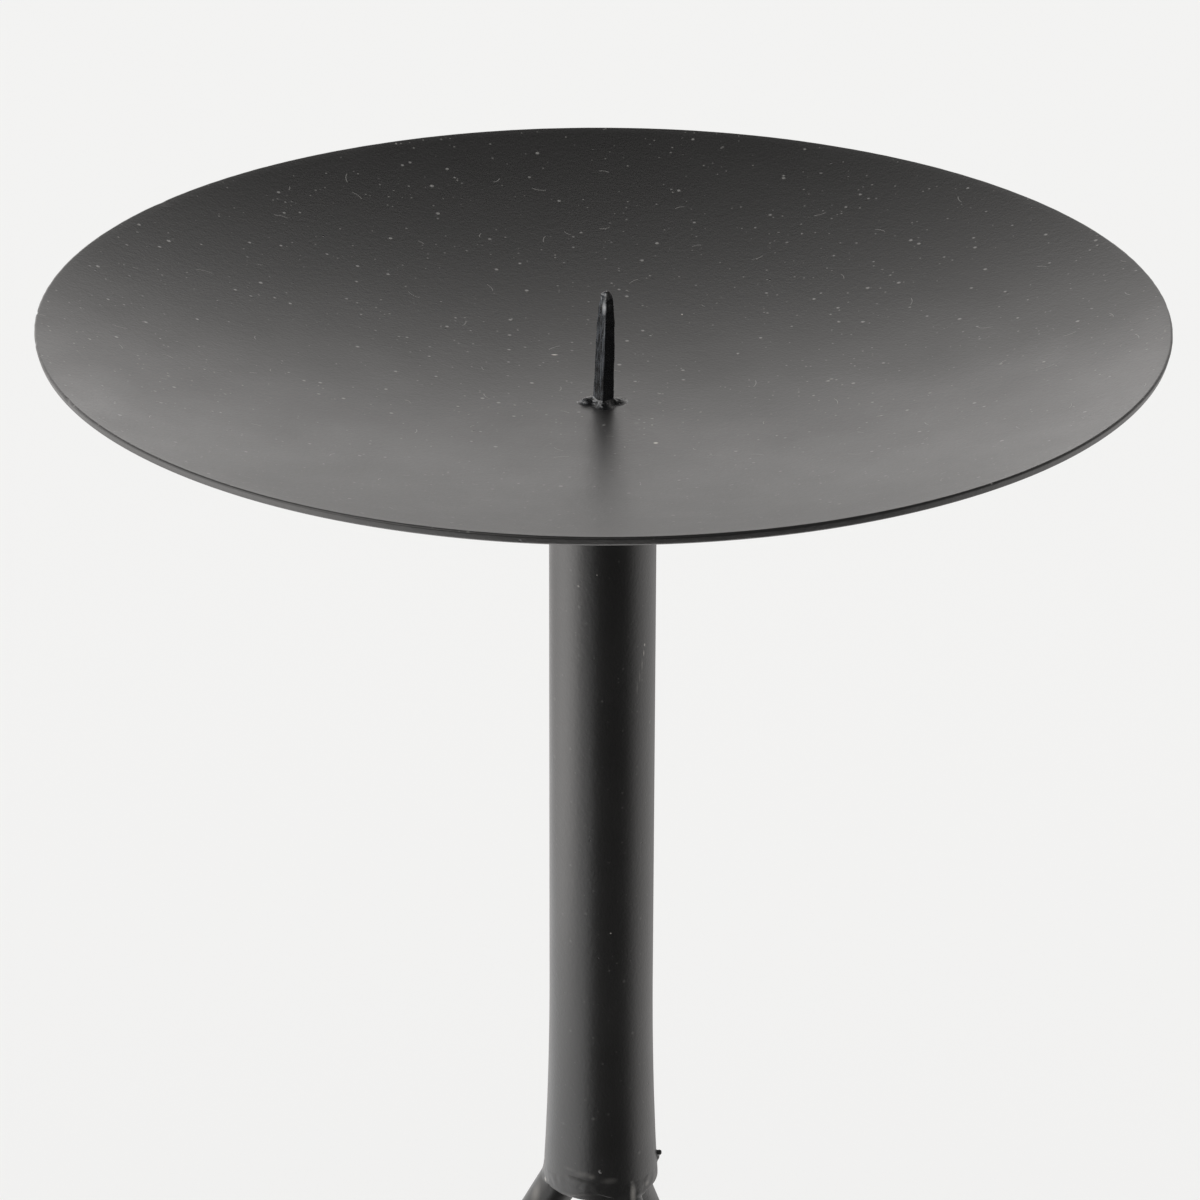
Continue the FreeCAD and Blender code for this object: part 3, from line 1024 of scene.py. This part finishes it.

# Crumbs on the pan and the stem, and painted highlights round the mouth and on the legs, pale
# marks in the coat's colour: the centre, the half sizes and the strength
CRUMB_AND_HIGHLIGHT_COLOUR = (0.62, 0.58, 0.53)
CRUMB_AND_HIGHLIGHT_HEIGHT = 0.06
CRUMBS = (
    ((-6.2, 14.7, 221.1), (0.50, 0.22, 0.5), 0.9),
    ((6.4, -14.3, 221.1), (0.34, 0.34, 0.5), 1.6),
    ((6.0, -7.7, 220.7), (0.16, 0.16, 0.5), 0.6),
    ((4.1, -6.9, 220.6), (0.50, 0.09, 0.5), 0.35),
    ((2.6, -15.7, 221.1), (0.14, 0.18, 0.5), 0.6),
    ((-2.6, -4.7, 220.6), (0.16, 0.12, 0.5), 0.5),
    ((10.1, 25.8, 222.4), (0.16, 0.20, 0.5), 0.8),
    ((28.4, 3.2, 222.5), (0.34, 0.12, 0.5), 0.5),
    ((33.7, -11.7, 223.7), (0.60, 0.12, 0.6), 0.4),
    ((17.0, 13.8, 221.7), (0.16, 0.16, 0.5), 0.4),
    ((-3.0, -6.1, 198.3), (0.2, 0.3, 0.2), 0.35),
    ((-0.7, -6.7, 200.1), (0.1, 0.3, 0.12), 0.4),
    ((1.2, -6.6, 149.6), (0.14, 0.3, 0.14), 0.4),
    ((5.3, -4.2, 189.4), (0.12, 0.5, 0.26), 0.4),
    ((5.2, -4.3, 188.3), (0.10, 0.5, 0.5), 0.3),
    ((5.0, -4.5, 186.8), (0.12, 0.5, 1.1), 0.1),
    ((4.7, -4.8, 185.3), (0.12, 0.5, 1.1), 0.08),
    ((4.4, -5.1, 183.9), (0.12, 0.5, 1.1), 0.07),
)
# Painted highlights round the mouth and on the legs, in the crumbs' pale colour
PAINTED_MOUTH_HIGHLIGHTS = (
    ((-4.2, -6.2, 114.2), (1.6, 0.9, 0.34), 0.035),
    ((-2.2, -7.0, 113.9), (1.9, 0.9, 0.55), 0.06),
    ((-1.2, -7.3, 113.7), (0.7, 0.6, 0.5), 0.075),
    ((1.2, -7.3, 113.1), (1.5, 0.6, 0.6), 0.042),
    ((-7.3, -2.2, 110.3), (0.45, 0.5, 0.4), 0.6),
    ((-7.4, -0.6, 112.6), (0.3, 0.6, 0.25), 0.4),
    ((6.2, -4.4, 111.1), (0.6, 0.6, 0.5), 0.12),
    ((4.3, -6.5, 110.4), (0.5, 1.2, 2.2), 0.2),
    ((-8.6, -1.6, 107.9), (0.8, 1.2, 3.0), 0.16),
)


def make_powder_coat():
    material = new_material("powder_coat", COAT_COLOUR, COAT_ROUGHNESS, COAT_SPECULAR)
    tree = material.node_tree
    place = millimetres(tree)
    peel = grain(tree, place, PEEL_LENGTH, 1.0)
    fine = grain(tree, place, FINE_PEEL_LENGTH, 1.0)
    smudge = grain(tree, place, SMUDGE_LENGTH, 3.0)
    level = facing_up(tree)
    settled = math_node(tree, "MULTIPLY_ADD", level, 1 - STANDING_SHARE, STANDING_SHARE)
    speck = times(tree, specks(tree, place, *SPECKS), settled)
    dust_place = vector_math(tree, "ADD", place, DUST_SHIFT)
    dust = times(tree, specks(tree, dust_place, *DUST), settled)
    lint = times(tree, fibres(tree, place, *LINT), level)
    pit = specks(tree, vector_math(tree, "ADD", place, PIT_SHIFT), *PITS)
    # Crumbs, and painted highlights in the same pale colour
    crumb_and_painted_highlight = patches(tree, place, CRUMBS + PAINTED_MOUTH_HIGHLIGHTS)
    dark, light = (tuple(part * share for part in COAT_COLOUR) for share in SMUDGE_SHARES)
    colour = mix_colour(tree, smudge, dark, light)
    tints = ((dust, DUST_COLOUR), (lint, LINT_COLOUR), (speck, SPECK_COLOUR), (crumb_and_painted_highlight, CRUMB_AND_HIGHLIGHT_COLOUR))
    for share, tint in tints:
        colour = mix_colour(tree, share, colour, tint)
    rough = varied(tree, COAT_ROUGHNESS, (smudge, SMUDGE_ROUGHNESS), (fine, FINE_ROUGHNESS))
    height = sum_of(
        tree, (peel, PEEL_HEIGHT), (fine, FINE_PEEL_HEIGHT), (speck, SPECK_HEIGHT), (lint, LINT_HEIGHT),
        (pit, -PIT_DEPTH), (crumb_and_painted_highlight, CRUMB_AND_HIGHLIGHT_HEIGHT),
    )
    return dress(material, colour, height, rough)


PAINT_COLOUR = (0.0020, 0.0023, 0.0028)
PAINT_ROUGHNESS = 0.25
PAINT_SPECULAR = 1.0
PAINT_GRAIN_LENGTH = 0.16
PAINT_GRAIN_HEIGHT = 0.025
PAINT_GRAIN_ROUGHNESS = 0.18
PAINT_DENT_LENGTH = 0.6
PAINT_DENT_HEIGHT = 0.05
PAINT_DENT_ROUGHNESS = 0.12
PAINT_SPECKS = (0.4, 0.06, 0.06)

# Painted sheen in streaks along the spike, only on what faces the left of the front
STREAK_LENGTH = 0.22
STREAK_STRETCH = 0.12
STREAK_EDGE = 0.53
STREAK_SOFTNESS = 0.13
STREAK_SHEEN_COLOUR = (0.120, 0.130, 0.145)
SHEEN_FACING = (-0.77, -0.64, 0.0)
FACING_EDGE = 0.62
FACING_SOFTNESS = 0.3

# Painted highlights near the spike's tip, as pale paint: the centre, the half sizes and the strength
TIP_HIGHLIGHT_COLOUR = (0.62, 0.63, 0.64)
TIP_PAINTED_HIGHLIGHTS = (
    ((0.04, -0.8, 233.45), (0.34, 0.8, 1.2), 0.85),
    ((0.10, -1.1, 230.6), (0.10, 0.6, 2.8), 0.16),
    ((-0.28, -0.3, 234.5), (0.10, 0.5, 0.40), 1.0),
)


def step_up(tree, value, edge, softness):
    """0 where a value is under an edge and 1 over it, with a soft border."""
    return math_node(tree, "SUBTRACT", 1, step_down(tree, value, edge, softness))


def make_pricket_paint():
    material = new_material("pricket_paint", PAINT_COLOUR, PAINT_ROUGHNESS, PAINT_SPECULAR)
    tree = material.node_tree
    place = millimetres(tree)
    fine = grain(tree, place, PAINT_GRAIN_LENGTH, 2.0)
    dents = grain(tree, place, PAINT_DENT_LENGTH, 2.0)
    stretched = vector_math(tree, "MULTIPLY", place, (1.0, 1.0, STREAK_STRETCH))
    sheen_streaks = step_up(tree, grain(tree, stretched, STREAK_LENGTH, 3.0), STREAK_EDGE, STREAK_SOFTNESS)
    normal = tree.nodes.new("ShaderNodeNewGeometry").outputs["Normal"]
    side = vector_math(tree, "DOT_PRODUCT", normal, SHEEN_FACING)
    # Painted sheen: the streaks lighten only the face turned to the left of the front
    painted_sheen = times(tree, sheen_streaks, step_up(tree, side, FACING_EDGE, FACING_SOFTNESS))
    colour = mix_colour(tree, painted_sheen, PAINT_COLOUR, STREAK_SHEEN_COLOUR)
    colour = mix_colour(tree, specks(tree, place, *PAINT_SPECKS), colour, DUST_COLOUR)
    # Painted highlights near the tip
    colour = mix_colour(tree, patches(tree, place, TIP_PAINTED_HIGHLIGHTS), colour, TIP_HIGHLIGHT_COLOUR)
    rough = varied(
        tree, PAINT_ROUGHNESS, (fine, PAINT_GRAIN_ROUGHNESS), (dents, PAINT_DENT_ROUGHNESS)
    )
    height = sum_of(tree, (fine, PAINT_GRAIN_HEIGHT), (dents, PAINT_DENT_HEIGHT))
    return dress(material, colour, height, rough)


FELT_COLOUR = (0.022, 0.022, 0.023)
FELT_DARK = (0.010, 0.010, 0.011)
FELT_LIGHT = (0.044, 0.044, 0.046)
FELT_ROUGHNESS = 0.95
FELT_SPECULAR = 0.2
FELT_SHEEN = 0.25
FELT_SHEEN_ROUGHNESS = 0.5
FELT_FIBRE_LENGTH = 0.25
FELT_FIBRE_HEIGHT = 0.12
FELT_CLUMP_LENGTH = 1.5
FELT_CLUMP_HEIGHT = 0.1


def make_felt():
    material = new_material("felt", FELT_COLOUR, FELT_ROUGHNESS, FELT_SPECULAR)
    tree = material.node_tree
    shader = tree.nodes["Principled BSDF"]
    shader.inputs["Sheen Weight"].default_value = FELT_SHEEN
    shader.inputs["Sheen Roughness"].default_value = FELT_SHEEN_ROUGHNESS
    place = millimetres(tree)
    fibre = grain(tree, place, FELT_FIBRE_LENGTH, 4.0)
    clump = grain(tree, place, FELT_CLUMP_LENGTH, 3.0)
    share = times(tree, fibre, clump)
    height = sum_of(tree, (fibre, FELT_FIBRE_HEIGHT), (clump, FELT_CLUMP_HEIGHT))
    return dress(material, mix_colour(tree, share, FELT_DARK, FELT_LIGHT), height)


# Object

powder_coat = ("powder_coat", make_powder_coat())
pricket_paint = ("pricket_paint", make_pricket_paint())
felt = ("felt", make_felt())
make_drip_pan(powder_coat)
make_pricket(pricket_paint)
make_pricket_weld(pricket_paint)
make_stem(powder_coat)
make_stem_weld(powder_coat)
make_leg_weld(powder_coat)
for side, azimuth in leg_azimuths.items():
    make_leg(side, azimuth, powder_coat)
    make_foot(side, powder_coat)
    make_foot_weld(side, azimuth, powder_coat)
    make_felt_pad(side, felt)


# Studio: a pale floor, even light on what is matt, and soft glows that only glossy surfaces show.
# A glow is a strength, its shares at azimuths, from the front (0) by the right (90), the back (180)
# and the left (270), and its shares at elevations.

FLOOR_HALF = 3.0
FLOOR_COLOUR = (0.880, 0.880, 0.870)
FLOOR_ROUGHNESS = 0.9
BACKGROUND = (0.913, 0.909, 0.902)
SHADOW_SHARE = 0.5
ROOM_LIGHT = 1.0
GLOW_TINT = (1.0, 0.977, 0.960)
GLOWS = (
    # Over the horizon, behind and on the left
    (
        2.15,
        (
            (0, 0.05), (50, 0.05), (90, 0.12), (130, 0.23), (155, 0.41), (180, 0.98), (205, 0.88),
            (230, 0.82), (270, 0.90), (310, 0.25), (360, 0.05),
        ),
        (
            (-90, 0.0), (-16, 0.0), (2, 0.96), (14, 0.97), (23, 0.69), (37, 0.26), (55, 0.02), (90, 0.02),
        ),
    ),
    # Under the horizon, on the left and a little on the right
    (
        3.5,
        (
            (0, 0.0), (60, 0.0), (80, 0.26), (100, 0.38), (130, 0.34), (165, 0.2), (180, 0.16),
            (200, 0.35), (235, 0.4), (270, 1.0), (297, 0.97), (312, 0.38), (327, 0.0), (360, 0.0),
        ),
        ((-90, 0.3), (-50, 0.6), (-30, 0.97), (-14, 0.85), (-2, 0.1), (90, 0.0)),
    ),
    # High on the left of the front
    (
        2.2,
        ((0, 0.1), (30, 0.05), (60, 0.0), (262, 0.0), (278, 1.0), (325, 1.0), (342, 0.2), (360, 0.1)),
        ((-90, 0.0), (14, 0.0), (26, 1.0), (46, 1.0), (60, 0.1), (90, 0.0)),
    ),
)
NADIR_GLOW = 2.0
NADIR_ELEVATIONS = ((-90, 1.0), (-70, 1.0), (-60, 0.3), (-54, 0.0), (90, 0.0))
CARD_DISTANCE = 0.12
CARD_WIDTH = 0.6
CARD_HEIGHT = 0.085
CARD_GLOW = 1.7


def ramp(tree, source, stops):
    """A grey ramp over the degrees from the first stop to the last."""
    low, high = stops[0][0], stops[-1][0]
    node = tree.nodes.new("ShaderNodeValToRGB")
    elements = node.color_ramp.elements
    while len(elements) < len(stops):
        elements.new(0.5)
    for element, (place, value) in zip(elements, stops):
        element.position = (place - low) / (high - low)
        element.color = (value, value, value, 1)
    share = math_node(tree, "MULTIPLY_ADD", source, 1 / (high - low), -low / (high - low))
    tree.links.new(share, node.inputs["Fac"])
    return node.outputs["Color"]


def make_world():
    world = bpy.data.worlds.new("studio")
    world.use_nodes = True
    tree = world.node_tree
    direction = tree.nodes.new("ShaderNodeTexCoord").outputs["Generated"]
    split = tree.nodes.new("ShaderNodeSeparateXYZ")
    tree.links.new(direction, split.inputs[0])
    x, y, z = (split.outputs[axis] for axis in "XYZ")
    toward_back = math_node(tree, "ARCTAN2", times(tree, x, -1), y)
    azimuth = math_node(tree, "MULTIPLY_ADD", toward_back, math.degrees(1), 180)
    elevation = times(tree, math_node(tree, "ARCSINE", z), math.degrees(1))
    glows = []
    for strength, azimuths, elevations in GLOWS:
        across, up = ramp(tree, azimuth, azimuths), ramp(tree, elevation, elevations)
        glows.append((times(tree, across, up), strength))
    glows.append((ramp(tree, elevation, NADIR_ELEVATIONS), NADIR_GLOW))
    glow = vector_math(tree, "MULTIPLY", sum_of(tree, *glows), GLOW_TINT)
    rays = tree.nodes.new("ShaderNodeLightPath")
    light = mix_colour(tree, rays.outputs["Is Glossy Ray"], (ROOM_LIGHT,) * 3, glow)
    seen = mix_colour(tree, rays.outputs["Is Camera Ray"], light, BACKGROUND)
    tree.links.new(seen, tree.nodes["Background"].inputs["Color"])
    bpy.context.scene.world = world


def make_sheet(name, corners, material, hidden_rays):
    """A flat part of the studio, which some kinds of ray pass through."""
    mesh = bpy.data.meshes.new(name)
    mesh.from_pydata(corners, [], [(0, 1, 2, 3)])
    mesh.materials.append(material)
    sheet = add_object(name, mesh)
    for ray in hidden_rays:
        setattr(sheet, "visible_" + ray, False)


def make_floor():
    """The floor, which the camera sees half as plain background and half with the shadows on it."""
    half = FLOOR_HALF
    material = new_material("floor", FLOOR_COLOUR, FLOOR_ROUGHNESS, 0.0)
    tree = material.node_tree
    shader = tree.nodes["Principled BSDF"]
    glow = tree.nodes.new("ShaderNodeEmission")
    glow.inputs["Color"].default_value = (*BACKGROUND, 1)
    rays = tree.nodes.new("ShaderNodeLightPath")
    share = times(tree, rays.outputs["Is Camera Ray"], 1 - SHADOW_SHARE)
    mix = tree.nodes.new("ShaderNodeMixShader")
    tree.links.new(share, mix.inputs["Fac"])
    tree.links.new(shader.outputs[0], mix.inputs[1])
    tree.links.new(glow.outputs[0], mix.inputs[2])
    tree.links.new(mix.outputs[0], tree.nodes["Material Output"].inputs["Surface"])
    corners = [(-half, -half, 0), (half, -half, 0), (half, half, 0), (-half, half, 0)]
    make_sheet("floor", corners, material, ["glossy"])


def make_card():
    """A dim wall low on the left, seen only in reflections."""
    far, half, top = CARD_DISTANCE, CARD_WIDTH / 2, CARD_HEIGHT
    material = new_material("card", (0, 0, 0), 1.0, 0.0)
    shader = material.node_tree.nodes["Principled BSDF"]
    shader.inputs["Emission Color"].default_value = (1, 1, 1, 1)
    shader.inputs["Emission Strength"].default_value = CARD_GLOW
    corners = [(-far, -half, 0), (-far, half, 0), (-far, half, top), (-far, -half, top)]
    make_sheet("card", corners, material, ["camera", "diffuse", "shadow", "transmission"])


def make_camera():
    data = bpy.data.cameras.new("camera")
    data.lens = LENS
    data.clip_start = CAMERA_NEAR
    camera = add_object("camera", data)
    tilt = Matrix.Rotation(math.radians(90 - CAMERA_PITCH), 4, "X")
    roll = Matrix.Rotation(math.radians(CAMERA_ROLL), 4, "Z")
    place = CAMERA_RIM_OFFSET + Vector((0, 0, rim_plane_z))
    camera.matrix_world = Matrix.Translation(place) @ tilt @ roll
    bpy.context.scene.camera = camera


make_floor()
make_card()
make_camera()
make_world()
bpy.context.scene.view_settings.view_transform = "Standard"
